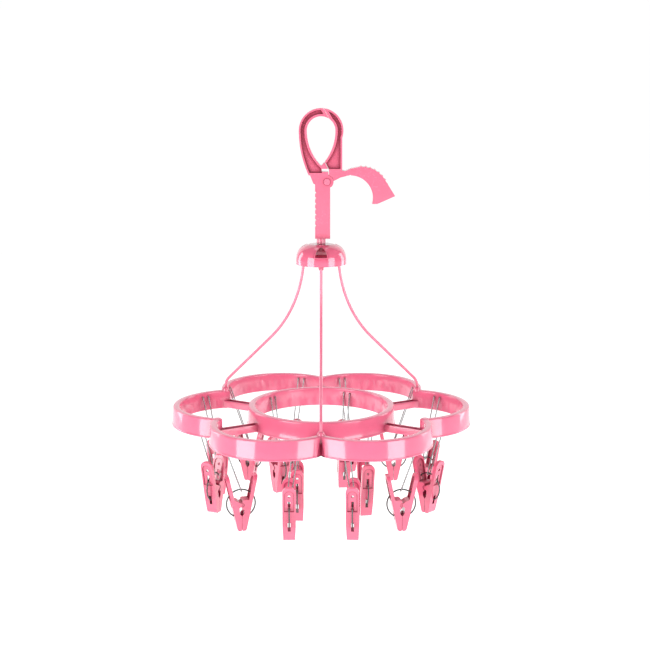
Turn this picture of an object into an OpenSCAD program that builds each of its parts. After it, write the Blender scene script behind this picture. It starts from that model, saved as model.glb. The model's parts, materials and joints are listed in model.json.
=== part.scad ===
// Clip drying hanger: a six-petal frame hung on three stays from a swivelling
// dome and a two-lever rail hook, with spring clips on wire hangers round it.
// Origin at the centre of the hook's round top; +Z up, hook opens in X and Z.

/* [Hook] */
// Radius of the rail that the hook's round top fits
loop_r = 14.3; // [11:0.1:18]
// Width of the loop's bar, seen from the front
loop_bar = 8; // [6:0.5:10]
// Depth of the loop's opening below its centre
loop_drop = 35; // [28:0.5:45]
// Front-to-back depth of the two levers
hook_depth = 11; // [9:0.5:16]
// Height of the pivot below the loop's centre
pivot_drop = 51; // [44:0.5:60]
// Sideways place of the pivot
pivot_x = 5.9; // [4:0.1:7]
// Radius of the round boss at the pivot
boss_r = 6.6; // [5.5:0.1:8]
// Radius of the pivot pin
pivot_r = 2.2; // [1.5:0.1:2.8]
// Width of the stem
stem_w = 15.2; // [12:0.1:20]
// Height of the stem's foot below the loop's centre
stem_drop = 108.5; // [90:0.5:140]
// Grip notches down the stem
stem_notches = 7; // [3:1:10]
// Outer radius of the grip lever's arched arm
grip_r = 27.3; // [24:0.1:32]
// Teeth along the grip
grip_teeth = 8; // [4:1:10]

/* [Swivel and dome] */
// Radius of the dome's skirt
dome_r = 25.8; // [22:0.1:34]
// Height of the dome
dome_h = 20.4; // [18:0.1:30]
// Wall of the dome
dome_wall = 2; // [1.4:0.1:3]
// Gap between the stem's foot and the dome
neck_h = 5.8; // [3:0.1:8]
// Radius of the swivel pin
swivel_r = 3; // [2:0.1:4]
// Distance from the axis to each stay at the dome
stay_top_r = 20; // [16:0.5:22]

/* [Stays] */
// Radius of a stay
stay_r = 1.5; // [1:0.1:2.5]
// Radius of the long bend below the dome
stay_bend = 128; // [90:1:160]
// Radius of the elbow above the frame
stay_elbow = 14; // [8:1:20]
// Splay of a stay where it leaves the dome
stay_splay = 8; // [2:1:12]

/* [Flower frame] */
// Drop from the dome's skirt to the frame's top rim
frame_drop = 147.5; // [120:0.1:190]
// Distance from the axis to a petal's tip
tip_r = 155; // [140:1:175]
// Outer radius of one petal
petal_r = 66; // [60:0.5:72]
// Outer radius of the centre ring
ring_r = 76.75; // [66:0.25:84]
// Height of the frame's walls
wall_h = 19.4; // [14:0.2:24]
// Width of the frame's walls across the rim
wall_w = 8; // [6:0.5:11]
// Thickness of the walls' two skins and of the rim over them
wall_t = 2; // [1.6:0.1:2.6]
// Radius of the post where two petals meet
post_r = 6; // [5:0.25:8]
// Width of a spoke
spoke_w = 9; // [6:0.5:12]
// Height of a spoke
spoke_h = 7.6; // [5:0.2:14]

/* [Wire hangers] */
// Radius of the hanger wire
wire_r = 0.6; // [0.4:0.05:0.9]
// Distance between a hanger's two legs at the wall
leg_gap = 7; // [5:0.5:9]
// Angle of a petal's two hangers from the petal's axis
hang_angle = 52; // [40:1:58]
// Drop from the frame's rim to the hanger's bend
hang_drop = 66.4; // [55:0.2:80]
// Lean of a petal's hangers, away from the wall
hang_lean = 22.4; // [10:0.1:30]
// Lean of the centre ring's hangers
ring_lean = 9.4; // [5:0.1:20]

/* [Clips] */
// Length of a clip's arm
arm_l = 58; // [48:1:70]
// Width of a clip's arm
arm_w = 13; // [10:0.5:15]
// Thickness of a clip's arm
arm_t = 3.7; // [3.2:0.1:5]
// Height of the fulcrum above the clip's foot
fulcrum_h = 27; // [23:0.5:32]
// Lean of each arm from the clip's middle
arm_lean = 12; // [10:0.5:14]
// Half the width of the closed clip at its foot
foot_half = 4.3; // [4.1:0.1:5.5]
// Radius of the ring spring
spring_r = 14.5; // [13:0.1:16]
// Radius of the ring spring's wire
spring_wire_r = 0.7; // [0.5:0.05:0.9]
// Radius of the fulcrum's round nose
nose_r = 2.4; // [2:0.1:3]

/* [Hidden] */
$fn = 48;
run_gap = 0.1;
part_gap = 0.3;
eps = 0.01;
// Directions of the centre ring's hangers
ring_hangs = [66, 140, 246, 320];
// How far each clip has turned on its hanger
clip_turns = [8, -14, -6, 12, 9, -12, -9, 14, 6, -20, 18, 16, 30, -18, 24, -40];

// Heights, all measured from the loop's centre
stem_foot = -stem_drop;
dome_top = stem_foot - neck_h;
dome_rim = dome_top - dome_h;
rim_z = dome_rim - frame_drop;

// Places of the petals, posts and hangers
petal_c = tip_r - petal_r;
// A post stands where two neighbouring petals cross, at 30 degrees off a petal's axis
notch_r = petal_c * cos(30) + sqrt(petal_r * petal_r - pow(petal_c * sin(30), 2));
post_c = notch_r - post_r;
petal_hangs = [for (k = [0:5], s = [-1, 1]) [60 * k, s * hang_angle]];
hang_count = len(petal_hangs) + len(ring_hangs);
stay_dirs = [270, 150, 30];

function polar(r, a) = [r * cos(a), r * sin(a)];
function two_digits(i) = str(i < 10 ? "0" : "", i);

// One hanger's place: [x, y] on the wall's inner face and the wall's normal
function petal_spot(h) = [
    polar(petal_c, h[0]) + polar(petal_r - wall_w, h[0] + h[1]), h[0] + h[1]
];
function ring_spot(a) = [polar(ring_r - wall_w, a), a];
function hang_spot(i) = i < len(petal_hangs)
    ? petal_spot(petal_hangs[i]) : ring_spot(ring_hangs[i - len(petal_hangs)]);
function hang_reach(i) = i < len(petal_hangs) ? hang_lean : ring_lean;
// Where hanger i bends, which is where its clip hangs
function bend_at(i) = let (s = hang_spot(i), p = s[0] - polar(hang_reach(i), s[1]))
    [p[0], p[1], rim_z - hang_drop];
function clip_turn(i) = hang_spot(i)[1] + clip_turns[i];

fixed_nodes = [
    "hook_stem", "hook_grip_lever", "hook_pivot_pin", "hook_spring", "swivel_pin",
    "dome_cap", "stay_front", "stay_left", "stay_right", "flower_frame", "wire_hangers"
];
clip_nodes = [
    for (i = [1:hang_count], n = ["_ring_spring", "_arm_a", "_arm_b"])
        str("clip_", two_digits(i), n)
];

// Hook outlines, drawn in X and Z

// Radius of the side of a drop-shaped opening that closes at depth d
function side_r(r, d) = (r * r + d * d) / (2 * r);

// Round above the centre, closing to a point at depth d below it
module drop_shape(r, d) {
    big = side_r(r, d);
    circle(r, $fn = 96);
    intersection() {
        translate([big - r, 0]) circle(big, $fn = 180);
        translate([r - big, 0]) circle(big, $fn = 180);
        translate([-r, -d]) square([2 * r, d]);
    }
}

// Outside of the loop, in from its edge by m
module loop_blob(m) {
    r = loop_r + loop_bar - m;
    left_r = side_r(loop_r + loop_bar, pivot_drop + 14) - m;
    circle(r, $fn = 96);
    intersection() {
        translate([left_r - r, 0]) circle(left_r, $fn = 180);
        translate([-r, -pivot_drop]) square([1.95 * r, pivot_drop]);
    }
}

module loop_bar_shape(m_out, m_in) {
    difference() {
        loop_blob(m_out);
        drop_shape(loop_r + m_in, loop_drop + m_in);
    }
}

top_out = loop_r + loop_bar;
seam_out = [1.5, top_out + 1];
seam_in = [9.5, loop_r - 5];

// Everything left of the slanted seam at the top of the loop
module left_side(shift) {
    polygon([
        [seam_out[0] + shift, seam_out[1]], [seam_in[0] + shift, seam_in[1]],
        [0, 0], [0, -loop_drop - 2], [1.5, -pivot_drop + boss_r],
        [-2 * top_out, -pivot_drop + boss_r], [-2 * top_out, seam_out[1]]
    ]);
}

// Everything right of the seam, down to the lever's neck
module right_side(shift) {
    polygon([
        [seam_out[0] + shift, seam_out[1]], [seam_in[0] + shift, seam_in[1]],
        [4, 0], [4, -loop_drop + 4], [neck_x, -loop_drop - 4], [2 * top_out, -loop_drop - 4],
        [2 * top_out, seam_out[1]]
    ]);
}

neck_x = pivot_x + 2;
stem_x = pivot_x - 4.4 - stem_w / 2;

// The fixed lever below the loop: a shoulder, the stem and its grip notches
module stem_outline() {
    shoulder = -pivot_drop - boss_r;
    notch_pitch = (stem_drop + shoulder - 12) / stem_notches;
    difference() {
        union() {
            polygon([
                [-15.5, -loop_drop + 2], [-5, -loop_drop + 2], [-1.5, -loop_drop - 1.2],
                [pivot_x - 1, -loop_drop - 1.6], [pivot_x - 1, -loop_drop - 2.8],
                [0.6, -loop_drop - 3], [0.6, -loop_drop - 5.6], [pivot_x + 1.4, -loop_drop - 6],
                [pivot_x + 1.4, -pivot_drop + 2], [pivot_x, -pivot_drop],
                [stem_x, shoulder - 2], [stem_x, -pivot_drop - 2.6], [stem_x - 1.8, -pivot_drop - 1.6]
            ]);
            polygon([
                [stem_x, -pivot_drop], [pivot_x, -pivot_drop], [pivot_x + 1, shoulder + 1.2],
                [stem_x + stem_w, shoulder + 0.4], [stem_x + stem_w, stem_foot], [stem_x, stem_foot]
            ]);
            translate([pivot_x, -pivot_drop]) circle(boss_r, $fn = 64);
            // closes the bottom of the loop, up to the moving lever
            difference() {
                intersection() {
                    polygon([
                        [-2, -loop_drop + 4], [3.5, -loop_drop + 4], [neck_x - 0.5, -loop_drop - 4],
                        [-2, -loop_drop - 4]
                    ]);
                    translate([-2, -loop_drop - 2.9]) square([12, 6.3]);
                }
                drop_shape(loop_r, loop_drop);
            }
        }
        for (k = [0:stem_notches - 1])
            translate([stem_x, shoulder - 4 - k * notch_pitch])
                polygon([[-1, 1.6], [1, 0.2], [1, -1.2], [-1, -2]]);
    }
}

grip_c = [40.9, -63.3 + 27.3 - grip_r];
under_c = [29.4, -67.3];
under_r = 22.8;

// The moving lever's arm: arched, toothed on top, cut square at its end
module grip_outline() {
    difference() {
        union() {
            intersection() {
                translate(grip_c) circle(grip_r, $fn = 120);
                polygon([[30, -90], [30, 0], [90, 0], [90, -90]]);
            }
            polygon([[50, -48], [65.5, -51], [74.5, -65.3], [56.6, -73.2]]);
            for (k = [0:grip_teeth - 1])
                translate(grip_c) rotate(96 - k * 10)
                    polygon([[grip_r - 1, -3.2], [grip_r + 0.9, -2.6], [grip_r - 1, 1.8]]);
            polygon([
                [neck_x, -loop_drop - 9], [neck_x, -loop_drop - 2], [13, -loop_drop + 5],
                [19.6, -loop_drop + 4], [19.8, -loop_drop - 2.6], [21.2, -loop_drop - 4.6],
                [24.4, -loop_drop - 5.2], [31, -loop_drop - 2.2], [33, -43], [27.6, -44.6],
                [19.4, -46.6], [12.4, -50.2], [pivot_x, -pivot_drop]
            ]);
        }
        translate(under_c) intersection() {
            circle(under_r, $fn = 120);
            translate([-4, -60]) square([60, 120]);
        }
        polygon([[56.6, -73.2], [84, -61.2], [84, -99], [30, -99], [30, -73.2]]);
    }
}

// Turns an outline drawn in X and Z into a plate of depth d, centred front to back
module plate(d) {
    rotate([90, 0, 0]) translate([0, 0, -d / 2]) linear_extrude(d) children();
}

module pivot_bore(r, l) {
    translate([pivot_x, 0, -pivot_drop]) rotate([90, 0, 0]) cylinder(h = l, r = r, center = true);
}

hub_t = hook_depth * 0.5;
groove = hook_depth * 0.22;

// The recess round each loop half, cut in the front and in the back face
module loop_groove() {
    for (s = [-1, 1])
        translate([0, s * (hook_depth - groove) / 2, 0])
            plate(groove + eps) children();
}

module hook_stem() {
    color("hotpink") difference() {
        union() {
            plate(hook_depth) intersection() {
                loop_bar_shape(0, 0);
                left_side(0);
            }
            plate(hook_depth) stem_outline();
        }
        loop_groove() intersection() {
            loop_bar_shape(1.7, 2.3);
            left_side(-3);
            translate([-60, -loop_drop - 7]) square([120, 120]);
        }
        // room for the moving lever's hub, then the bore of the pivot pin
        pivot_bore(boss_r + part_gap, hub_t + 2 * part_gap);
        pivot_bore(pivot_r, hook_depth + 2);
        translate([0, 0, stem_foot - 1]) cylinder(h = swivel_grip + 1, r = swivel_r);
    }
}

module hook_grip_lever() {
    color("hotpink") difference() {
        union() {
            difference() {
                plate(hook_depth) {
                    intersection() {
                        loop_bar_shape(0, 0);
                        right_side(part_gap + 0.1);
                    }
                    grip_outline();
                }
                pivot_bore(boss_r + part_gap, hook_depth + 2);
            }
            plate(hub_t) {
                translate([pivot_x, -pivot_drop]) circle(boss_r - part_gap, $fn = 64);
                intersection() {
                    grip_outline();
                    translate([pivot_x, -pivot_drop]) circle(boss_r + 2);
                }
            }
        }
        loop_groove() intersection() {
            loop_bar_shape(1.7, 2.3);
            right_side(3.5);
            translate([0, -loop_drop - 3]) square([60, 120]);
        }
        pivot_bore(pivot_r + run_gap / 2, hook_depth + 2);
        // pocket for the spring's coil, open to the back, and the slots for its legs
        translate([pivot_x, 0, -pivot_drop]) rotate([-90, 0, 0])
            cylinder(h = hub_t, r = coil_r + coil_wire_r + part_gap);
        translate([pivot_x, 0, -pivot_drop]) rotate([0, -spring_leg_a, 0])
            translate([0, 0, -1.2]) cube([boss_r + 3.4, hub_t, 2.4]);
        translate([pivot_x, 0, -pivot_drop]) rotate([0, 70, 0])
            translate([0, 0, -3.4]) cube([boss_r + 2, hub_t, 7.4]);
    }
}

module hook_pivot_pin() {
    flange = 0.7;
    color("lightpink") translate([pivot_x, 0, -pivot_drop]) rotate([90, 0, 0]) {
        cylinder(h = hook_depth, r = pivot_r, center = true);
        for (s = [0, 1]) mirror([0, 0, s]) translate([0, 0, hook_depth / 2])
            cylinder(h = flange, r = pivot_r + 1);
    }
}

coil_wire_r = 0.4;
coil_r = pivot_r + 0.4 + coil_wire_r + 0.2;
coil_turns = 2;
spring_leg_a = 50;

function ring_at(c, d, r, n) = let (
    w = d / norm(d), u0 = abs(w[2]) < 0.9 ? cross(w, [0, 0, 1]) : cross(w, [1, 0, 0]),
    u = u0 / norm(u0), v = cross(w, u))
    [for (k = [0:n - 1]) c + r * (cos(360 * k / n) * u + sin(360 * k / n) * v)];

// A round wire of radius r along points p, closed at both ends
module wire_along(p, r, n = 8) {
    m = len(p);
    rings = [for (i = [0:m - 1]) ring_at(p[i], p[min(i + 1, m - 1)] - p[max(i - 1, 0)], r, n)];
    points = [for (g = rings) each g];
    sides = [for (i = [0:m - 2], k = [0:n - 1]) let (j = (k + 1) % n)
        each [[i * n + k, (i + 1) * n + k, i * n + j], [i * n + j, (i + 1) * n + k, (i + 1) * n + j]]];
    caps = [[for (k = [0:n - 1]) k], [for (k = [n - 1:-1:0]) (m - 1) * n + k]];
    polyhedron(points, concat(sides, caps));
}

// Torsion spring: a short coil round the pin, with a leg against each lever
module hook_spring() {
    lead = 2.3 * coil_wire_r;
    a0 = spring_leg_a;
    a1 = a0 + 360 * coil_turns - 90;
    coil = [for (a = [a0:15:a1])
        [coil_r * cos(a), coil_wire_r + 0.25 + lead * (a - a0) / 360, coil_r * sin(a)]];
    first = coil[0] + 5.4 * [cos(a0), 0, sin(a0)];
    last = coil[len(coil) - 1] + 2.8 * [cos(-42), 0, sin(-42)];
    color("dimgray") translate([pivot_x, 0, -pivot_drop])
        wire_along(concat([first, coil[0] + 0.6 * [cos(a0), 0, sin(a0)]], coil, [last]), coil_wire_r);
}

swivel_grip = 12;
swivel_head_r = 6;
hub_h = 4;

// The pin is fast in the stem; the dome turns under its collar, on its head
module swivel_pin() {
    color("lightpink") {
        translate([0, 0, dome_top - hub_h - part_gap])
            cylinder(h = stem_foot + swivel_grip - dome_top + hub_h + part_gap, r = swivel_r);
        translate([0, 0, dome_top + part_gap])
            cylinder(h = neck_h - part_gap, r = swivel_r + 1.6);
        translate([0, 0, dome_top - hub_h - part_gap - 3]) cylinder(h = 3, r = swivel_head_r);
    }
}

shoulder_r = 16.4;

// Half section of a dome, in by m from its outside
module dome_section(m) {
    flat = dome_r - shoulder_r;
    top = dome_top - m;
    r = shoulder_r - m;
    intersection() {
        union() {
            translate([flat, top - r]) circle(r, $fn = 96);
            translate([0, top - 2 * r]) square([flat, 2 * r]);
            translate([0, dome_rim - 1]) square([dome_r - m, top - r - dome_rim + 1]);
        }
        translate([0, dome_rim - 1]) square([dome_r, dome_h + 2]);
    }
}

// Pointed window outline, standing on its sill
module window_outline(m) {
    w = 6 + m;
    translate([0, -m]) intersection() {
        translate([-w, 0]) square([2 * w, 12 + 2.2 * m]);
        translate([3.4, 1]) circle(w + 3.4, $fn = 48);
        translate([-3.4, 1]) circle(w + 3.4, $fn = 48);
    }
}

module window_block(m) {
    translate([dome_r - 14, 0, dome_rim + 9.3])
        rotate([90, 0, 90]) linear_extrude(20) window_outline(m);
}

module each_stay_side() {
    for (a = stay_dirs) rotate(a) children();
}

nib_h = 6;

module dome_cap() {
    color("hotpink") difference() {
        union() {
            difference() {
                rotate_extrude($fn = 96) intersection() {
                    dome_section(0);
                    translate([0, dome_rim]) square([2 * dome_r, 2 * dome_h]);
                }
                rotate_extrude($fn = 96) dome_section(dome_wall);
            }
            // raised rim round each window
            difference() {
                intersection() {
                    each_stay_side() window_block(1.3);
                    rotate_extrude($fn = 96) dome_section(-0.6);
                }
                rotate_extrude($fn = 96) dome_section(dome_wall - 0.4);
            }
            translate([0, 0, dome_top - hub_h]) cylinder(h = hub_h, r = 10);
            // ribs and nibs that hold the stays
            intersection() {
                each_stay_side() {
                    translate([10 - 1, -1.1, dome_rim + 1])
                        cube([dome_r - 10, 2.2, 6.4]);
                    translate([stay_top_r, 0, dome_rim - nib_h + 2.4])
                        cylinder(h = nib_h + 4, r1 = stay_r + 0.9, r2 = stay_r + 2.4);
                }
                translate([0, 0, dome_rim - nib_h]) cylinder(h = 2 * dome_h, r = dome_r - 1);
            }
            translate([0, 0, dome_rim + 1]) difference() {
                cylinder(h = 6.4, r = 11);
                translate([0, 0, -1]) cylinder(h = 9, r = 9);
            }
        }
        each_stay_side() {
            window_block(0);
            intersection() {
                plug_socket();
                translate([0, -5, dome_rim - nib_h - 1]) cube([40, 10, nib_h + 1 + stay_top - dome_rim + 0.4]);
            }
        }
        translate([0, 0, dome_rim]) cylinder(h = dome_h + 1, r = swivel_r + run_gap / 2);
    }
}

// A stay lies in the plane of the axis: a plug in the dome's nib, a long bend,
// a straight, an elbow and a foot in the post's socket
stay_plug = 11;
stay_top = dome_rim + 4;
stay_foot = rim_z - 7;
elbow_foot = rim_z + 4;
bend_from = [stay_top_r + stay_plug * sin(stay_splay), stay_top - stay_plug * cos(stay_splay)];
fall = bend_from[1] - elbow_foot + stay_bend * sin(stay_splay);
reach = post_c - bend_from[0] - stay_bend * cos(stay_splay) - stay_elbow;
stay_slope = atan2(reach, fall) + asin((stay_bend + stay_elbow) / norm([fall, reach]));
stay_points = concat(
    [[stay_top_r, 0, stay_top]],
    [for (k = [0:12]) let (a = stay_splay + (stay_slope - stay_splay) * k / 12) [
        bend_from[0] + stay_bend * (cos(stay_splay) - cos(a)), 0,
        bend_from[1] - stay_bend * (sin(a) - sin(stay_splay))
    ]],
    [for (k = [6:-1:0]) let (a = stay_slope * k / 6)
        [post_c - stay_elbow * (1 - cos(a)), 0, elbow_foot + stay_elbow * sin(a)]],
    [[post_c, 0, stay_foot]]
);

module stay() {
    color("hotpink") wire_along(stay_points, stay_r, 12);
}

module stay_front() {
    rotate(stay_dirs[0]) stay();
}
module stay_left() {
    rotate(stay_dirs[1]) stay();
}
module stay_right() {
    rotate(stay_dirs[2]) stay();
}

// Socket in the dome for a stay's plug, and in a post for its foot
module plug_socket() {
    translate([stay_top_r, 0, stay_top]) rotate([0, 180 - stay_splay, 0])
        translate([0, 0, -20]) cylinder(h = stay_plug + 24, r = stay_r + run_gap);
}
module foot_socket() {
    translate([post_c, 0, stay_foot - run_gap]) cylinder(h = 30, r = stay_r + run_gap);
}

// Outline of the six petals, grown by m
module petals_outline(m) {
    circle(ring_r);
    for (k = [0:5]) rotate(60 * k) translate([petal_c, 0])
        circle(petal_r + m, $fn = 180);
}

// One band of every wall, from d_out inside its outer face to d_in inside it
module wall_band(d_out, d_in) {
    difference() {
        petals_outline(-d_out);
        petals_outline(-d_in);
    }
    difference() {
        circle(ring_r - d_out, $fn = 180);
        circle(ring_r - d_in, $fn = 180);
    }
}

bevel = 0.6;
lip = 0.5;
lip_h = 1.3;

// The walls are channels, open below: a bevelled rim, the body and a lip along the foot
module walls() {
    difference() {
        union() {
            translate([0, 0, -bevel]) linear_extrude(bevel) wall_band(bevel, wall_w - bevel);
            translate([0, 0, lip_h - wall_h]) linear_extrude(wall_h - lip_h - bevel) wall_band(0, wall_w);
            translate([0, 0, -wall_h]) linear_extrude(lip_h) wall_band(-lip, wall_w);
        }
        translate([0, 0, -wall_h - 1]) linear_extrude(wall_h + 1 - wall_t)
            wall_band(wall_t, wall_w - wall_t);
    }
}

// Two shallow slots and a peg hole in the wall for each hanger
module eyelets() {
    for (i = [0:hang_count - 1]) {
        s = hang_spot(i);
        translate([s[0][0], s[0][1], 0]) rotate(s[1]) for (t = [-1, 1] * leg_gap / 2) {
            translate([-1, t - wire_r - 0.25, -wall_h + 2.4])
                cube([1.5, 2 * wire_r + 0.5, wall_h - 5]);
            translate([-0.4, t, peg_z]) rotate([0, 90, 0])
                cylinder(h = peg_l + 0.5, r = wire_r + 0.06, $fn = 24);
        }
    }
}

peg_z = -4.4;
peg_l = wall_t - 0.6;

module flower_frame() {
    color("hotpink") translate([0, 0, rim_z]) difference() {
        union() {
            walls();
            for (k = [0:5]) rotate(60 * k + 30) {
                translate([post_c, 0, -wall_h - 0.6]) cylinder(h = wall_h + 0.2, r = post_r);
                translate([ring_r - wall_t / 2, -spoke_w / 2, -wall_h + 0.7])
                    cube([post_c - ring_r, spoke_w, spoke_h]);
            }
            for (a = stay_dirs) rotate(a)
                translate([post_c, 0, -1]) cylinder(h = 4, r1 = post_r - 1, r2 = stay_r + 1.4);
        }
        for (k = [0:5]) rotate(60 * k + 30) {
            // each spoke is a trough, and each post is cored from below
            translate([ring_r + 1.4, -spoke_w / 2 + 1.6, -wall_h + 2.4])
                cube([post_c - ring_r - post_r - 0.6, spoke_w - 3.2, spoke_h]);
            translate([post_c, 0, -wall_h - 1]) cylinder(h = 5, r = post_r - 1.8);
        }
        translate([0, 0, -rim_z]) each_stay_side() foot_socket();
        eyelets();
    }
}

bend_r = 2;

// One hanger, from its pegs down both legs to the bend; x runs out to the wall
module wire_hanger(lean) {
    leg_top = -leg_gap / 2;
    tilt = atan2(lean, hang_drop + peg_z);
    down = [-sin(tilt), 0, -cos(tilt)];
    elbow = [-0.9 - wire_r, leg_top, peg_z];
    bend_c = [-lean, 0, -hang_drop];
    round_top = [for (a = [0:30:60]) elbow + [1.2 * (1 - sin(a)), 0, -1.2 * (1 - cos(a))]];
    u = [for (a = [180:20:270]) bend_c + bend_r * ([0, cos(a), 0] - sin(a) * down)];
    half = concat([[peg_l - 0.2, leg_top, peg_z]], round_top, u);
    other = [for (i = [len(half) - 1:-1:0]) [half[i][0], -half[i][1], half[i][2]]];
    wire_along(concat(half, other), wire_r);
}

module wire_hangers() {
    color("gray") for (i = [0:hang_count - 1]) {
        s = hang_spot(i);
        translate([s[0][0], s[0][1], rim_z]) rotate(s[1]) wire_hanger(hang_reach(i));
    }
}

// Clips: drawn with the fulcrum at the origin, opening in X and Z, width along Y

arm_top = arm_l - fulcrum_h;
slope_x = tan(arm_lean);
function face_x(z) = foot_half + slope_x * (z + fulcrum_h);

// Half the clip's side view: the arm, its fulcrum block and its jaw
module arm_side(block) {
    inner = arm_t / cos(arm_lean);
    polygon([
        [face_x(-fulcrum_h) - 1, -fulcrum_h], [face_x(1.5 - fulcrum_h), 1.5 - fulcrum_h],
        [face_x(arm_top - 1.2), arm_top - 1.2], [face_x(arm_top) - 1.2, arm_top],
        [face_x(arm_top) - inner + 0.6, arm_top], [face_x(arm_top - 1) - inner, arm_top - 1],
        [face_x(5) - inner, 5], each block, [2.4, -5.6], [2.1, -9], [part_gap / 2, -11.4],
        [part_gap / 2, -fulcrum_h + 0.6], [part_gap / 2 + 0.8, -fulcrum_h]
    ]);
}

nose_neck = nose_r - 0.6;
nose_block = [[3.6, 3.6], [1.2, nose_neck], [0, nose_neck], [0, -nose_neck], [1.2, -nose_neck], [2.6, -3.2]];
seat_block = [[2, 5], [0.4, 4], [0.4, -3.6], [2, -4.6]];

// Front view of an arm, to round its ends and taper its jaw
module arm_front() {
    r = arm_w / 2;
    translate([0, arm_top - r]) circle(r, $fn = 48);
    translate([-r, -12]) square([arm_w, arm_top - r + 12]);
    polygon([[-r, -12], [-r + 0.8, -fulcrum_h], [r - 0.8, -fulcrum_h], [r, -12]]);
}

// Cuts shared by both arms: face recesses, thumb hole and slots for the ring
module arm_cuts() {
    rim = 1.5;
    rotate([0, arm_lean, 0]) translate([foot_half * cos(arm_lean) + fulcrum_h * sin(arm_lean), 0, 0]) {
        for (x = [-0.9, -arm_t - 2]) translate([x, 0, 0])
            rotate([90, 0, 90]) linear_extrude(3.2) {
                translate([0, arm_top - arm_w / 2]) circle(arm_w / 2 - rim, $fn = 36);
                translate([rim - arm_w / 2, 6.4]) square([arm_w - 2 * rim, arm_top - arm_w / 2 - 6.4]);
            }
        translate([-arm_t - 2, 0, arm_top - arm_w / 2 - 1.6]) rotate([0, 90, 0])
            cylinder(h = arm_t + 4, r = 1.5, $fn = 32);
    }
    slot = 2 * spring_wire_r + 1.4;
    translate([5, -slot / 2, 5.6]) cube([12, slot, 9.6]);
    translate([-1, -slot / 2, -17.2]) cube([13, slot, 9.4]);
}

module arm_solid(block) {
    difference() {
        intersection() {
            rotate([90, 0, 0]) translate([0, 0, -arm_w / 2]) linear_extrude(arm_w) arm_side(block);
            rotate([90, 0, 90]) translate([0, 0, -1]) linear_extrude(30) arm_front();
        }
        arm_cuts();
    }
}

// Arm with the round nose, on the wall's side
module arm_a() {
    color("hotpink") {
        mirror([1, 0, 0]) arm_solid(nose_block);
        rotate([90, 0, 0]) cylinder(h = arm_w - 1, r = nose_r, center = true);
    }
}

// Arm with the seat that rocks round the nose
module arm_b() {
    color("hotpink") difference() {
        arm_solid(seat_block);
        rotate([90, 0, 0]) cylinder(h = arm_w + 1, r = nose_r + run_gap, center = true);
    }
}

ring_end = 66;

// Open steel ring, free ends in the arms' lower slots
module ring_spring() {
    color("gray") rotate([90, 0, 0]) rotate(-ring_end)
        rotate_extrude(angle = 180 + 2 * ring_end, $fn = 120)
            translate([spring_r, 0]) circle(spring_wire_r, $fn = 24);
}

// Puts a clip's piece on hanger i, with the ring's top in the hanger's bend
module on_hanger(i) {
    translate(bend_at(i) - [0, 0, spring_r]) rotate(clip_turn(i) + 180) children();
}

hook_stem();
hook_grip_lever();
hook_pivot_pin();
hook_spring();
swivel_pin();
dome_cap();
stay_front();
stay_left();
stay_right();
flower_frame();
wire_hangers();
for (i = [0:hang_count - 1]) {
    clip = str("clip_", two_digits(i + 1));
    on_hanger(i) ring_spring();
    on_hanger(i) arm_a();
    on_hanger(i) arm_b();
}
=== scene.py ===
# Clip drying hanger: finishes for every piece, with smooth walls, stays and hanger wires
import json

import bpy
import numpy as np
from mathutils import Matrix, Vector


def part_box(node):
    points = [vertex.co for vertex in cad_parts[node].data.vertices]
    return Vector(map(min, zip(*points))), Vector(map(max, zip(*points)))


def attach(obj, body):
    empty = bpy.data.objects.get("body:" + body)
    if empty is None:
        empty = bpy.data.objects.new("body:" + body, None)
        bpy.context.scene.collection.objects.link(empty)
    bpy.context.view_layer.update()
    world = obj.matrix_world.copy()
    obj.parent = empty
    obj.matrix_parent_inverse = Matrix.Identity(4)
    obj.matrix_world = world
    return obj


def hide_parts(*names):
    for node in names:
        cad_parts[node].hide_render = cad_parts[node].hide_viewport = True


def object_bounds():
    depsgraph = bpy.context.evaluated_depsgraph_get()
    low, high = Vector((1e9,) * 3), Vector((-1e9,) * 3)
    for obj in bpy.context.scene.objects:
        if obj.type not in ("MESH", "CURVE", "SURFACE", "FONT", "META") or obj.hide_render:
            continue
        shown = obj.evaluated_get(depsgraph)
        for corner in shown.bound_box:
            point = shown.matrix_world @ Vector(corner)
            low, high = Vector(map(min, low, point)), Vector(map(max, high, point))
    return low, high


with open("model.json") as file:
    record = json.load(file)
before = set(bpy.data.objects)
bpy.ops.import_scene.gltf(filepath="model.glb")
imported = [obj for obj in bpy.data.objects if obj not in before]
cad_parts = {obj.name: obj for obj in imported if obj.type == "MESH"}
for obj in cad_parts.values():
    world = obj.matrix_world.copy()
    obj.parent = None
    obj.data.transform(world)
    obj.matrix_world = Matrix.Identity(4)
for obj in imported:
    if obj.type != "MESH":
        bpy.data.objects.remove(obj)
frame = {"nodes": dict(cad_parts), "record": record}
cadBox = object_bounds()
mm = 0.001


view = {
    "place": (3.9, -1385, 78.1),  # where the camera stands, in mm
    "tilt": 78.7,  # degrees up from straight down
    "lens": 75.97,
    "sensor": 36,
}


def standCamera():
    camera = bpy.data.objects.new("camera", bpy.data.cameras.new("camera"))
    camera.data.lens = view["lens"]
    camera.data.sensor_width = view["sensor"]
    camera.data.clip_end = 50
    camera.location = Vector(view["place"]) * mm
    camera.rotation_euler = (np.radians(view["tilt"]), 0, 0)
    bpy.context.collection.objects.link(camera)
    bpy.context.scene.camera = camera


standCamera()
print("camera placed")


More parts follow.
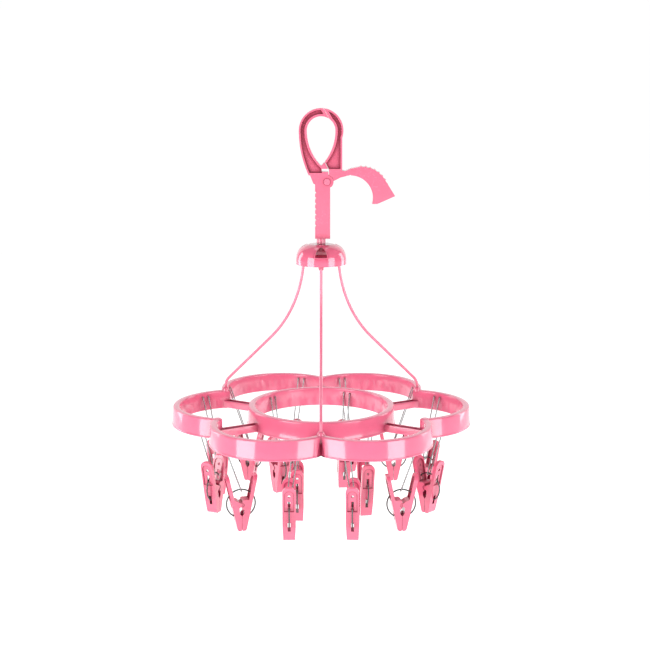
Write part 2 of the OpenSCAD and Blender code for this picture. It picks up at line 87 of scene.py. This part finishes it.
class Value:  # a socket that can be used in sums
    def __init__(self, finish, socket):
        self.finish = finish
        self.socket = socket

    def math(self, operation, first, second):
        settings = {"operation": operation}
        return self.finish.add("ShaderNodeMath", settings, {0: first, 1: second})

    def __add__(self, other):
        return self.math("ADD", self, other)

    def __radd__(self, other):
        return self.math("ADD", other, self)

    def __sub__(self, other):
        return self.math("SUBTRACT", self, other)

    def __rsub__(self, other):
        return self.math("SUBTRACT", other, self)

    def __mul__(self, other):
        return self.math("MULTIPLY", self, other)

    def __rmul__(self, other):
        return self.math("MULTIPLY", other, self)

    def __pow__(self, other):
        return self.math("POWER", self, other)


class Finish:  # one material and the nodes in it
    def __init__(self, name):
        self.material = bpy.data.materials.new(name)
        self.material.use_nodes = True
        self.nodes = self.material.node_tree.nodes
        self.links = self.material.node_tree.links
        self.shader = self.nodes["Principled BSDF"]

    def put(self, socket, value):
        if isinstance(value, Value):
            self.links.new(value.socket, socket)
        else:
            socket.default_value = value

    def add(self, kind, settings=None, inputs=None, output=0):
        node = self.nodes.new(kind)
        for key, value in (settings or {}).items():
            setattr(node, key, value)
        for key, value in (inputs or {}).items():
            self.put(node.inputs[key], value)
        return Value(self, node.outputs[output])

    def surface(self, **values):  # sockets of the shader, by name with _ for a space
        for key, value in values.items():
            self.put(self.shader.inputs[key.replace("_", " ")], value)

    def place(self):
        return self.add("ShaderNodeTexCoord", output="Object")

    def noise(self, size, detail=2.0):  # 0 to 1, with lumps about size mm across
        return self.add(
            "ShaderNodeTexNoise",
            {"noise_dimensions": "3D"},
            {"Vector": self.place(), "Scale": 1 / (size * mm), "Detail": detail},
        )

    def mix(self, share, first, second):
        return self.add(
            "ShaderNodeMix",
            {"data_type": "RGBA"},
            {0: share, 6: first, 7: second},
            output=2,
        )

    def bump(self, height, strength, depth, **normal):  # depth in mm
        inputs = {"Height": height, "Strength": strength, "Distance": depth * mm, **normal}
        return self.add("ShaderNodeBump", {}, inputs)


pink = {
    "frame": (0.89, 0.172, 0.298),
    "dome": (0.88, 0.150, 0.265),
    "hook": (0.89, 0.172, 0.285),
    "pin": (0.90, 0.220, 0.340),
    "stay": (0.89, 0.200, 0.320),
    "clip": (0.84, 0.135, 0.245),
}
plastic = {
    "patchy": 0.10,  # how far the gloss varies
    "tint": 0.10,  # how far the colour varies
    "cloud": 26,  # size of the broad patches, in mm
    "speck": 1.6,  # size of the specks among them, in mm
    "coat": 0.7,  # share of clear gloss over the colour
    "shade": (0.42, 0.10, 0.22),  # how much of each colour is left where shade is painted deep in a recess
    "wave": 14,  # size of the slow ripple of a moulded wall, in mm
    "waveDepth": 0.35,  # in mm
    "grain": 0.16,  # size of the fine grain, in mm
    "grainDepth": 0.02,  # in mm
}
steel = {
    "colour": (0.27, 0.29, 0.29),
    "roughness": 0.26,
    "patchy": 0.2,  # how far the gloss varies
    "cloud": 9,  # size of the broad patches, in mm
    "dark": 0.55,  # share of the colour left where they are darkest
    "draw": 0.9,  # size of the drawing marks, in mm
    "drawDepth": 0.02,  # in mm
}


def mouldedPlastic(name, colour, roughness, edge, recess, depth):
    finish = Finish(name)
    cloud = finish.noise(plastic["cloud"], 3)
    speck = finish.noise(plastic["speck"], 4)
    deep = tuple(c * (1 - plastic["tint"]) ** 2 for c in colour) + (1,)
    pale = tuple(min(c * (1 + plastic["tint"]), 1) for c in colour) + (1,)
    paintedShadeColour = tuple(c * s for c, s in zip(colour, plastic["shade"])) + (1,)
    tone = finish.mix(cloud * 0.7 + speck * 0.3, deep, pale)
    # painted shade: where ambient occlusion finds a recess or a gap between parts, the colour
    # is darkened towards the shade colour
    paintedShadeMask = finish.add(
        "ShaderNodeAmbientOcclusion",
        {"samples": 8},
        {"Distance": recess * mm},
        "AO",
    )
    tone = finish.mix(paintedShadeMask**depth, paintedShadeColour, tone)
    patches = (speck - 0.5) * plastic["patchy"]
    gloss = roughness + patches + (cloud - 0.5) * plastic["patchy"]
    soft = finish.add("ShaderNodeBevel", {"samples": 4}, {"Radius": edge * mm})
    wave = finish.noise(plastic["wave"], 1)
    ripple = finish.bump(wave, 0.35, plastic["waveDepth"], Normal=soft)
    fine = finish.noise(plastic["grain"], 2)
    grain = finish.bump(fine, 0.12, plastic["grainDepth"], Normal=ripple)
    finish.surface(Base_Color=tone, Roughness=gloss, Normal=grain, IOR=1.5)
    finish.surface(Coat_Weight=plastic["coat"], Coat_IOR=1.7, Coat_Roughness=0.06)
    finish.surface(Subsurface_Weight=0.05, Subsurface_Scale=1.0 * mm)
    finish.surface(Subsurface_Radius=(1.0, 0.35, 0.4))
    return finish.material


def drawnSteel(name, tone=1.0):
    finish = Finish(name)
    mark = finish.noise(steel["draw"], 5)
    cloud = finish.noise(steel["cloud"], 2)
    light = tuple(c * tone for c in steel["colour"]) + (1,)
    dark = tuple(c * tone * steel["dark"] for c in steel["colour"]) + (1,)
    marks = finish.bump(mark, 0.2, steel["drawDepth"])
    colour = finish.mix(cloud * 0.6 + mark * 0.4, dark, light)
    gloss = steel["roughness"] + (mark - 0.5) * steel["patchy"]
    finish.surface(Base_Color=colour, Metallic=1.0, Roughness=gloss, Normal=marks)
    return finish.material


finishes = {
    # roughness, softened edge in mm, width in mm of a recess where shade is painted, and how
    # dark that painted shade is
    "frame_plastic": mouldedPlastic("framePlastic", pink["frame"], 0.20, 0.6, 12, 1.9),
    "dome_plastic": mouldedPlastic("domePlastic", pink["dome"], 0.14, 0.4, 26, 2.4),
    "hook_plastic": mouldedPlastic("hookPlastic", pink["hook"], 0.26, 0.5, 12, 4.5),
    "pin_plastic": mouldedPlastic("pinPlastic", pink["pin"], 0.28, 0.3, 5, 1.8),
    "stay_plastic": mouldedPlastic("stayPlastic", pink["stay"], 0.30, 0.2, 5, 1.0),
    "clip_plastic": mouldedPlastic("clipPlastic", pink["clip"], 0.20, 0.3, 9, 3.0),
    "spring_steel": drawnSteel("springSteel", 0.55),
    "hanger_wire": drawnSteel("hangerWire", 1.5),
}
print("finishes made")


def finishNodes():
    slotOf = {part["node"]: part["material_slot"] for part in frame["record"]["subparts"]}
    for node, piece in frame["nodes"].items():
        for place in piece.material_slots:
            place.material = finishes[slotOf[node]]


finishNodes()


def tube(path, radius, sides):  # rings round a path, each square to it, with closed ends
    path = np.asarray(path, float)
    along = np.gradient(path, axis=0)
    along /= np.linalg.norm(along, axis=1, keepdims=True)
    side = np.cross(along, tubeSide(along))
    side /= np.linalg.norm(side, axis=1, keepdims=True)
    other = np.cross(along, side)
    turn = np.linspace(0, 2 * np.pi, sides, endpoint=False)[None, :, None]
    reach = np.broadcast_to(np.asarray(radius, float), (len(path),))[:, None, None]
    around = np.cos(turn) * side[:, None] + np.sin(turn) * other[:, None]
    return closedGrid(path[:, None] + reach * around)


def tubeSide(along):  # a direction that the path never runs along
    spread = np.linalg.svd(along, full_matrices=False)[2]
    return spread[2]


def closedGrid(rings):  # joins rings of points into a skin, with one flat face on each end
    count, sides = rings.shape[:2]
    ring = np.arange(count * sides).reshape(count, sides)
    after = np.roll(ring, -1, axis=1)
    walls = np.stack([ring[:-1], after[:-1], after[1:], ring[1:]], -1).reshape(-1, 4)
    return rings.reshape(-1, 3), walls.tolist() + [ring[0, ::-1].tolist(), ring[-1].tolist()]


def loopGrid(rings):  # the same with the last ring joined to the first, as on a closed hoop
    count, sides = rings.shape[:2]
    ring = np.arange(count * sides).reshape(count, sides)
    after = np.roll(ring, -1, axis=1)
    walls = np.stack([ring, after, np.roll(after, -1, axis=0), np.roll(ring, -1, axis=0)], -1)
    return rings.reshape(-1, 3), walls.reshape(-1, 4).tolist()


def rounded(corners, steps=5):  # closed outline, each (x, y, radius) corner made an arc
    corners = np.asarray(corners, float)
    spots, radii = corners[:, :2], corners[:, 2]
    before = np.roll(spots, 1, axis=0) - spots
    after = np.roll(spots, -1, axis=0) - spots
    before /= np.linalg.norm(before, axis=1, keepdims=True)
    after /= np.linalg.norm(after, axis=1, keepdims=True)
    half = np.arccos(np.clip((before * after).sum(1), -1, 1)) / 2
    reach = (radii / np.tan(half))[:, None]
    share = np.linspace(0, 1, steps)[None, :, None]
    start, end = (spots + before * reach)[:, None], (spots + after * reach)[:, None]
    corner = spots[:, None]
    weight = np.sin(half)[:, None, None]  # makes the curve a true arc of a circle
    low, mid, high = (1 - share) ** 2, 2 * share * (1 - share) * weight, share**2
    return ((low * start + mid * corner + high * end) / (low + mid + high)).reshape(-1, 2)


def lathe(profile, centre, sides=48):  # round piece from (radius, height) points, foot first
    profile = np.asarray(profile, float)
    turn = np.linspace(0, 2 * np.pi, sides, endpoint=False)
    rings = np.stack(
        [
            centre[0] + profile[:, :1] * np.cos(turn),
            centre[1] + profile[:, :1] * np.sin(turn),
            np.repeat(profile[:, 1:], sides, axis=1),
        ],
        -1,
    )
    return closedGrid(rings)


def addPiece(name, parts, finish, body, sharp=40):  # one object from several skins, in mm
    points, faces, start = [], [], 0
    for spots, sides in parts:
        points.append(spots)
        faces += [[corner + start for corner in face] for face in sides]
        start += len(spots)
    mesh = bpy.data.meshes.new(name)
    mesh.from_pydata((np.vstack(points) * mm).tolist(), [], faces)
    mesh.polygons.foreach_set("use_smooth", np.ones(len(faces), bool))
    mesh.set_sharp_from_angle(angle=np.radians(sharp))
    mesh.materials.append(finishes[finish])
    piece = bpy.data.objects.new(name, mesh)
    bpy.context.collection.objects.link(piece)
    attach(piece, body)
    return piece


stay = {
    "radius": 1.5,
    "topReach": 20,  # from the axis, at the dome
    "plug": 11,  # straight length up in the dome
    "splay": 8,  # degrees, leaving the dome
    "bend": 128,
    "elbow": 14,
    "elbowHeight": 4,  # above the frame's rim
    "footDepth": 7,  # below the rim, down in the post
    "footReach": 119.82,  # from the axis to the posts
    "sides": 20,
    "directions": {"stay_front": 270, "stay_left": 150, "stay_right": 30},
}


def rimHeight():
    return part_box("stay_front")[0][2] / mm + stay["footDepth"]


def stayPath():  # x outwards and z up: plug, long bend, straight and elbow, down into the post
    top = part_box("stay_front")[1][2] / mm
    rim = rimHeight()
    splay = np.radians(stay["splay"])
    startX = stay["topReach"] + stay["plug"] * np.sin(splay)
    startZ = top - stay["plug"] * np.cos(splay)
    endZ = rim + stay["elbowHeight"]
    fall = startZ - endZ + stay["bend"] * np.sin(splay)
    reach = stay["footReach"] - startX - stay["bend"] * np.cos(splay) - stay["elbow"]
    between = (stay["bend"] + stay["elbow"]) / np.hypot(fall, reach)
    slope = np.arctan2(reach, fall) + np.arcsin(between)
    long = np.linspace(splay, slope, 90)
    short = np.linspace(slope, 0, 40)
    bendX = startX + stay["bend"] * (np.cos(splay) - np.cos(long))
    bendZ = startZ - stay["bend"] * (np.sin(long) - np.sin(splay))
    elbowX = stay["footReach"] - stay["elbow"] * (1 - np.cos(short))
    elbowZ = endZ + stay["elbow"] * np.sin(short)
    x = np.concatenate([[stay["topReach"]], bendX, elbowX, [stay["footReach"]]])
    z = np.concatenate([[top], bendZ, elbowZ, [rim - stay["footDepth"]]])
    return x, z


def evenly(points, step):  # the same route with a point every step mm
    gaps = np.linalg.norm(np.diff(points, axis=0), axis=1)
    far = np.concatenate([[0], np.cumsum(gaps)])
    count = int(far[-1] / step) + 2
    place = np.linspace(0, far[-1], count)
    return np.stack([np.interp(place, far, points[:, k]) for k in range(points.shape[1])], -1)


def drawStays():
    x, z = stayPath()
    for name, direction in stay["directions"].items():
        a = np.radians(direction)
        path = evenly(np.stack([x * np.cos(a), x * np.sin(a), z], -1), 1.0)
        skin = tube(path, stay["radius"], stay["sides"])
        piece = addPiece(name + "_rod", [skin], "stay_plastic", "frame")
        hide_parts(name)


drawStays()
print("stays drawn")


wall = {
    "petals": 6,
    "petalCentre": 89,
    "petalRadius": 66,
    "ringRadius": 76.75,
    "width": 8,
    "height": 19.4,
    "skin": 2,
    "draft": 1.1,  # how far the rim stands in from the foot
    "lip": 0.45,  # how far the foot stands out
    "slotHalf": 3.2,  # half the width of the slot outside a stay's post
    "slotReach": 119,  # how far from the axis its floor lies
    "slotSkin": 1.2,  # how far in from the outer face it cuts
    "slotTop": -1.6,  # from the rim
    "postRadius": 4.3,
    "postDrop": 0.6,  # below the walls' foot
    "spokeWidth": 9,
    "spokeHeight": 7.6,
    "spokeWall": 1.6,
    "spokeLift": 0.7,  # above the walls' foot
    "spokeSink": 1.4,  # into the ring
}
petalTurn = 360 // wall["petals"]  # degrees from one petal to the next


def wallSection():  # channel open below: distance in from the outer face, height from the rim
    foot, width, skin = -wall["height"], wall["width"], wall["skin"]
    lip, draft = wall["lip"], wall["draft"]
    return rounded(
        [
            (-lip, foot, 0.3),
            (skin, foot, 0.4),
            (skin + draft, -skin, 1.0),
            (width - skin, -skin, 1.0),
            (width - skin, foot, 0.4),
            (width, foot, 0.5),
            (width, -0.1, 1.5),
            (width / 2 + 0.6, 0.15, 3.0),
            (draft, -0.2, 1.5),
            (0, foot + 1.7, 0.4),
            (-lip, foot + 1.3, 0.3),
        ]
    )


def petalWalls(rim):  # each petal's arc ends on the plane where it meets its neighbour
    section = wallSection()
    reach = wall["petalRadius"] - section[:, 0]
    apart = np.pi / wall["petals"]
    outside = (section[:, 0] < wall["slotSkin"]) & (section[:, 1] < wall["slotTop"])
    middle = np.linspace(-0.992, 0.992, 70)
    share = np.concatenate([[-1, -0.998, -0.996], middle, [0.996, 0.998]])
    rings = []
    for k in range(wall["petals"]):
        centre = 2 * apart * k
        gap = np.zeros((len(share), len(section)))
        ends = [round(np.degrees(centre + side * apart)) % 360 for side in (-1, 1)]
        held = [direction in stay["directions"].values() for direction in ends]
        slotted = np.where(share < 0, *held)[:, None] & outside
        gap[slotted] = wall["slotHalf"]
        # a slotted point stays clear of that plane by the slot's half width
        end = apart + np.arcsin((wall["petalCentre"] * np.sin(apart) - gap) / reach)
        angle = share[:, None] * end
        x = wall["petalCentre"] + reach * np.cos(angle)
        y = reach * np.sin(angle)
        for row in (0, 1, -1):  # the slot's floor
            side = np.sign(share[row]) * apart
            off = wall["slotHalf"] * (row != 0) * -np.sign(share[row])
            out = np.array([np.cos(side), np.sin(side)])
            across = np.array([-out[1], out[0]])
            spot = wall["slotReach"] * out + off * across
            x[row], y[row] = np.where(slotted[row], spot[:, None], [x[row], y[row]])
        c, s = np.cos(centre), np.sin(centre)
        z = np.broadcast_to(rim + section[:, 1], x.shape)
        rings.append(np.stack([x * c - y * s, x * s + y * c, z], -1))
    return loopGrid(np.concatenate(rings))


def ringWall(rim, steps=240):
    section = wallSection()
    angle = np.linspace(0, 2 * np.pi, steps, endpoint=False)[:, None]
    reach = wall["ringRadius"] - section[:, 0]
    x, y = reach * np.cos(angle), reach * np.sin(angle)
    return loopGrid(np.stack([x, y, np.broadcast_to(rim + section[:, 1], x.shape)], -1))


def spoke(rim, direction):  # trough from the ring to the post
    half, thick = wall["spokeWidth"] / 2, wall["spokeWall"]
    low = wall["spokeLift"] - wall["height"]
    top = low + wall["spokeHeight"]
    outline = rounded(
        [
            (-half, low, 0.8),
            (half, low, 0.8),
            (half, top, 0.5),
            (half - thick, top, 0.5),
            (half - thick, low + thick, 0.8),
            (thick - half, low + thick, 0.8),
            (thick - half, top, 0.5),
            (-half, top, 0.5),
        ]
    )
    start = wall["ringRadius"] - wall["spokeSink"]
    along = np.linspace(start, stay["footReach"], 24)[:, None]
    c, s = polar(1, direction)
    side, up = outline.T
    x, y = along * c - side * s, along * s + side * c
    return closedGrid(np.stack([x, y, np.broadcast_to(rim + up, x.shape)], -1))


def post(rim, direction, held):  # column where two petals meet, with a boss if it holds a stay
    r = wall["postRadius"]
    foot = -wall["height"] - wall["postDrop"]
    shape = [(0.5, foot), (2.2, foot), (2.5, foot + 0.4), (2.5, -1.8), (r, -1.2)]
    if held:
        shape += [(r - 0.2, 0.3), (r - 0.9, 1.6), (r - 1.3, 2.8)]
        shape += [(r - 1.8, 3.3), (1.6, 3.4), (1.0, 3.0)]
    else:
        shape += [(r - 0.2, 0.1), (r - 0.8, 0.5), (0.5, 0.6)]
    return lathe([(x, rim + z) for x, z in shape], polar(stay["footReach"], direction))


def eyelet(rim, spot, direction, side):  # collar where a hanger's peg goes into the wall
    out = polar(1, direction)
    along = polar(side * hanger["gap"] / 2, direction + 90)
    turn = np.linspace(0, 2 * np.pi, 24, endpoint=False)[:, None]
    profile = [(1.5, 0.6), (1.5, -0.5), (1.35, -0.75)]  # radius, and how far outwards
    profile += [(1.05, -0.8), (0.85, -0.7), (0.8, 0.4)]
    rings = []
    for reach, outwards in profile:
        across, up = reach * np.cos(turn), reach * np.sin(turn)
        x = spot[0] + along[0] + outwards * out[0] - across * out[1]
        y = spot[1] + along[1] + outwards * out[1] + across * out[0]
        rings.append(np.hstack([x, y, rim + hanger["pegHeight"] + up]))
    return closedGrid(np.stack(rings[::-1]))


def drawFrame():
    rim = rimHeight()
    skins = [petalWalls(rim), ringWall(rim)]
    for k in range(wall["petals"]):
        direction = petalTurn * k + petalTurn // 2
        skins.append(spoke(rim, direction))
        skins.append(post(rim, direction, direction in stay["directions"].values()))
    for spot, direction, lean in hangerSpots():
        skins += [eyelet(rim, spot, direction, side) for side in (-1, 1)]
    piece = addPiece("flower_walls", skins, "frame_plastic", "frame", 35)
    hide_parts("flower_frame")


hanger = {
    "radius": 0.6,
    "sides": 12,
    "gap": 7,  # between the two legs, at the wall
    "knee": 1.2,  # radius of the turn down from the peg
    "kneeReach": 0.9,  # from the wall to the wire, below the turn
    "bend": 2,
    "drop": 66.4,  # from the rim to the middle of the bend
    "lean": 22.4,  # on a petal
    "ringLean": 9.4,  # on the centre ring
    "pegHeight": -4.4,  # from the rim
    "pegReach": 1.2,  # into the wall
    "petalAngle": 52,  # each way from a petal's tip
    "ringAngles": (66, 140, 246, 320),
}


def polar(reach, degrees):
    a = np.radians(degrees)
    return np.array([reach * np.cos(a), reach * np.sin(a)])


def hangerSpots():  # place on the wall, the wall's direction, and the lean
    spots = []
    for k in range(wall["petals"]):
        for side in (-1, 1):
            a = petalTurn * k + side * hanger["petalAngle"]
            inner = polar(wall["petalRadius"] - wall["width"], a)
            spot = polar(wall["petalCentre"], petalTurn * k) + inner
            spots.append((spot, a, hanger["lean"]))
    for a in hanger["ringAngles"]:
        spot = polar(wall["ringRadius"] - wall["width"], a)
        spots.append((spot, a, hanger["ringLean"]))
    return spots


def hairpin(lean):  # x out to the wall, from one peg down round the bend and up to the other
    fall = hanger["drop"] + hanger["pegHeight"]
    slant = np.arctan2(lean, fall)
    down = -np.array([np.sin(slant), 0, np.cos(slant)])
    half = hanger["gap"] / 2
    legX = -hanger["kneeReach"] - hanger["radius"]
    corner = np.array([legX, -half, hanger["pegHeight"]])
    turn = np.linspace(0, np.pi / 2, 9)[:, None]
    curve = (1 - np.sin(turn)) * [1, 0, 0] - (1 - np.cos(turn)) * [0, 0, 1]
    knee = corner + hanger["knee"] * curve
    low = np.linspace(np.pi, 1.5 * np.pi, 17)[:, None]
    middle = np.array([-lean, 0, -hanger["drop"]])
    bend = middle + hanger["bend"] * (np.cos(low) * [0, 1, 0] - np.sin(low) * down)
    path = np.vstack([[[hanger["pegReach"], -half, hanger["pegHeight"]]], knee, bend])
    return np.vstack([path, path[-2::-1] * [1, -1, 1]])


def drawHangers():
    rim = rimHeight()
    skins = []
    for spot, a, lean in hangerSpots():
        path = evenly(hairpin(lean), 0.9)
        c, s = polar(1, a)
        turned = path @ np.array([[c, s, 0], [-s, c, 0], [0, 0, 1]])
        placed = turned + [spot[0], spot[1], rim]
        skins.append(tube(placed, hanger["radius"], hanger["sides"]))
    piece = addPiece("hairpin_wires", skins, "hanger_wire", "frame")
    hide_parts("wire_hangers")


drawFrame()
drawHangers()
print("frame and hairpin wires drawn")


room = {
    "floorDrop": 120,  # below the lowest foot, in mm
    "floorSize": 9000,
    "white": 0.97,
    "air": 0.28,  # strength of the light from all round
    "floorGlow": 0.45,  # keeps the floor white as far as the backdrop
    "glow": 1.0,  # strength of the backdrop's own light
    "backdrop": (2600, 5200, 4200),  # how far behind, its width and its height
    "aim": (0, 0, -200),  # what the lamps point at, in mm
}


def lightRoom():
    scene = bpy.context.scene
    scene.view_settings.view_transform = "Standard"
    world = bpy.data.worlds.new("room")
    world.use_nodes = True
    air = world.node_tree.nodes["Background"]
    air.inputs["Color"].default_value = (1, 1, 1, 1)
    air.inputs["Strength"].default_value = room["air"]
    scene.world = world
    lamps = {  # place in mm, size in mm, power in watts
        "keyLamp": ((-900, -800, -40), (700, 900), 10),
        "fillLamp": ((900, -800, -40), (640, 900), 8),
        "leftStrip": ((-1100, 500, 0), (420, 900), 4),
        "rightStrip": ((1100, 500, 0), (420, 900), 4),
        "topLamp": ((0, 300, 1300), (800, 800), 3.5),
    }
    for name, (spot, size, power) in lamps.items():
        lamp = bpy.data.lights.new(name, "AREA")
        lamp.shape = "RECTANGLE"
        lamp.size, lamp.size_y = size[0] * mm, size[1] * mm
        lamp.energy = power
        holder = bpy.data.objects.new(name, lamp)
        holder.location = Vector(spot) * mm
        aim = Vector(room["aim"]) * mm - holder.location
        holder.rotation_euler = aim.to_track_quat("-Z", "Y").to_euler()
        bpy.context.collection.objects.link(holder)


def layFloor():
    low = cadBox[0][2] - room["floorDrop"] * mm
    half = room["floorSize"] * mm / 2
    corners = [(-half, -half, low), (half, -half, low), (half, half, low), (-half, half, low)]
    mesh = bpy.data.meshes.new("floor")
    mesh.from_pydata(corners, [], [(0, 1, 2, 3)])
    paint = Finish("floorPaint")
    shade = room["white"]
    paint.surface(Base_Color=(shade, shade, shade, 1), Roughness=0.9)
    paint.surface(Emission_Color=(1, 1, 1, 1), Emission_Strength=room["floorGlow"])
    mesh.materials.append(paint.material)
    floor = bpy.data.objects.new("floor", mesh)
    bpy.context.collection.objects.link(floor)


def hangBackdrop():
    back, width, height = (v * mm for v in room["backdrop"])
    low = cadBox[0][2] - room["floorDrop"] * mm
    half, top = width / 2, low + height
    corners = [(-half, back, low), (half, back, low), (half, back, top), (-half, back, top)]
    mesh = bpy.data.meshes.new("backdrop")
    mesh.from_pydata(corners, [], [(3, 2, 1, 0)])
    glow = Finish("backdropGlow")
    glow.surface(Base_Color=(0, 0, 0, 1), Roughness=1.0)
    glow.surface(Emission_Color=(1, 1, 1, 1), Emission_Strength=room["glow"])
    mesh.materials.append(glow.material)
    backdrop = bpy.data.objects.new("backdrop", mesh)
    bpy.context.collection.objects.link(backdrop)


lightRoom()
layFloor()
hangBackdrop()
print("room lit")
